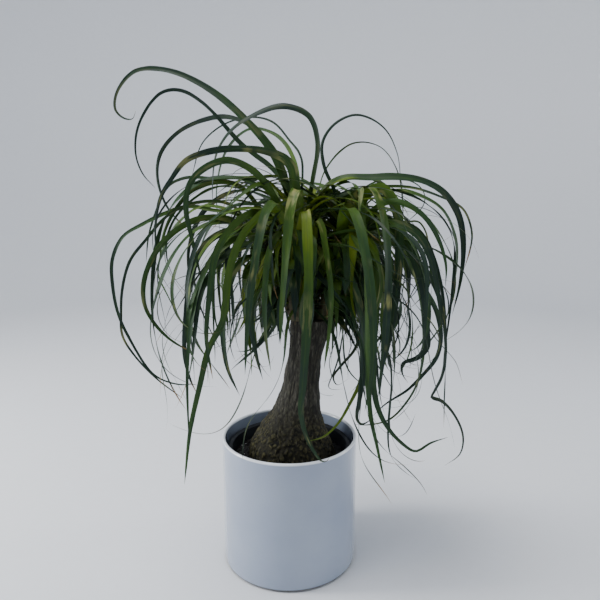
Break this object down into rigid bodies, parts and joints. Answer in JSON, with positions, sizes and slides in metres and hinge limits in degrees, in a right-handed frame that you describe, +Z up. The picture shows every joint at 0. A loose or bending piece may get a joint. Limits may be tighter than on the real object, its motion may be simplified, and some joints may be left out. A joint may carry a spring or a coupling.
{
  "type": "potted ponytail palm",
  "caption": "Ponytail palm with a swollen corky foot, a slim trunk and long arching strap leaves, in a white glazed cylinder cover pot.",
  "frame": {"origin": "Middle of the pot's foot, on the surface the pot stands on.", "axes": "+Z is up the trunk, +X is the plant's right seen from the front, -Y is the front."},
  "size_m": [0.4845, 0.3337, 0.6841],
  "materials": {
    "glazed_ceramic": "gloss",
    "black_plastic": "satin",
    "potting_soil": "rough",
    "bark": "rough",
    "young_stem": "matte",
    "leaf": "satin"
  },
  "bodies": {
    "root": {"cover_pot": "glazed_ceramic", "nursery_pot": "black_plastic", "soil": "potting_soil", "trunk": "bark", "shoot_main": "young_stem", "leaf_main_01": "leaf", "leaf_main_02": "leaf", "leaf_main_03": "leaf", "leaf_main_04": "leaf", "leaf_main_05": "leaf", "leaf_main_06": "leaf", "leaf_main_07": "leaf", "leaf_main_08": "leaf", "leaf_main_09": "leaf", "leaf_main_10": "leaf", "leaf_main_11": "leaf", "leaf_main_12": "leaf", "leaf_main_13": "leaf", "leaf_main_14": "leaf", "leaf_main_15": "leaf", "leaf_main_16": "leaf", "leaf_main_17": "leaf", "shoot_right": "young_stem", "leaf_right_01": "leaf", "leaf_right_02": "leaf", "leaf_right_03": "leaf", "leaf_right_04": "leaf", "leaf_right_05": "leaf", "leaf_right_06": "leaf", "leaf_right_07": "leaf", "leaf_right_08": "leaf", "leaf_right_09": "leaf", "leaf_right_10": "leaf", "leaf_right_11": "leaf", "leaf_right_12": "leaf", "leaf_right_13": "leaf", "leaf_right_14": "leaf", "leaf_right_15": "leaf", "leaf_right_16": "leaf", "leaf_right_17": "leaf", "leaf_right_18": "leaf", "leaf_right_19": "leaf", "leaf_right_20": "leaf", "leaf_right_21": "leaf", "shoot_left": "young_stem", "leaf_left_01": "leaf", "leaf_left_02": "leaf", "leaf_left_03": "leaf", "leaf_left_04": "leaf", "leaf_left_05": "leaf", "leaf_left_06": "leaf", "leaf_left_07": "leaf", "leaf_left_08": "leaf", "shoot_back": "young_stem", "leaf_back_01": "leaf", "leaf_back_02": "leaf", "leaf_back_03": "leaf", "leaf_back_04": "leaf", "leaf_back_05": "leaf", "leaf_back_06": "leaf"}
  },
  "joints": []
}
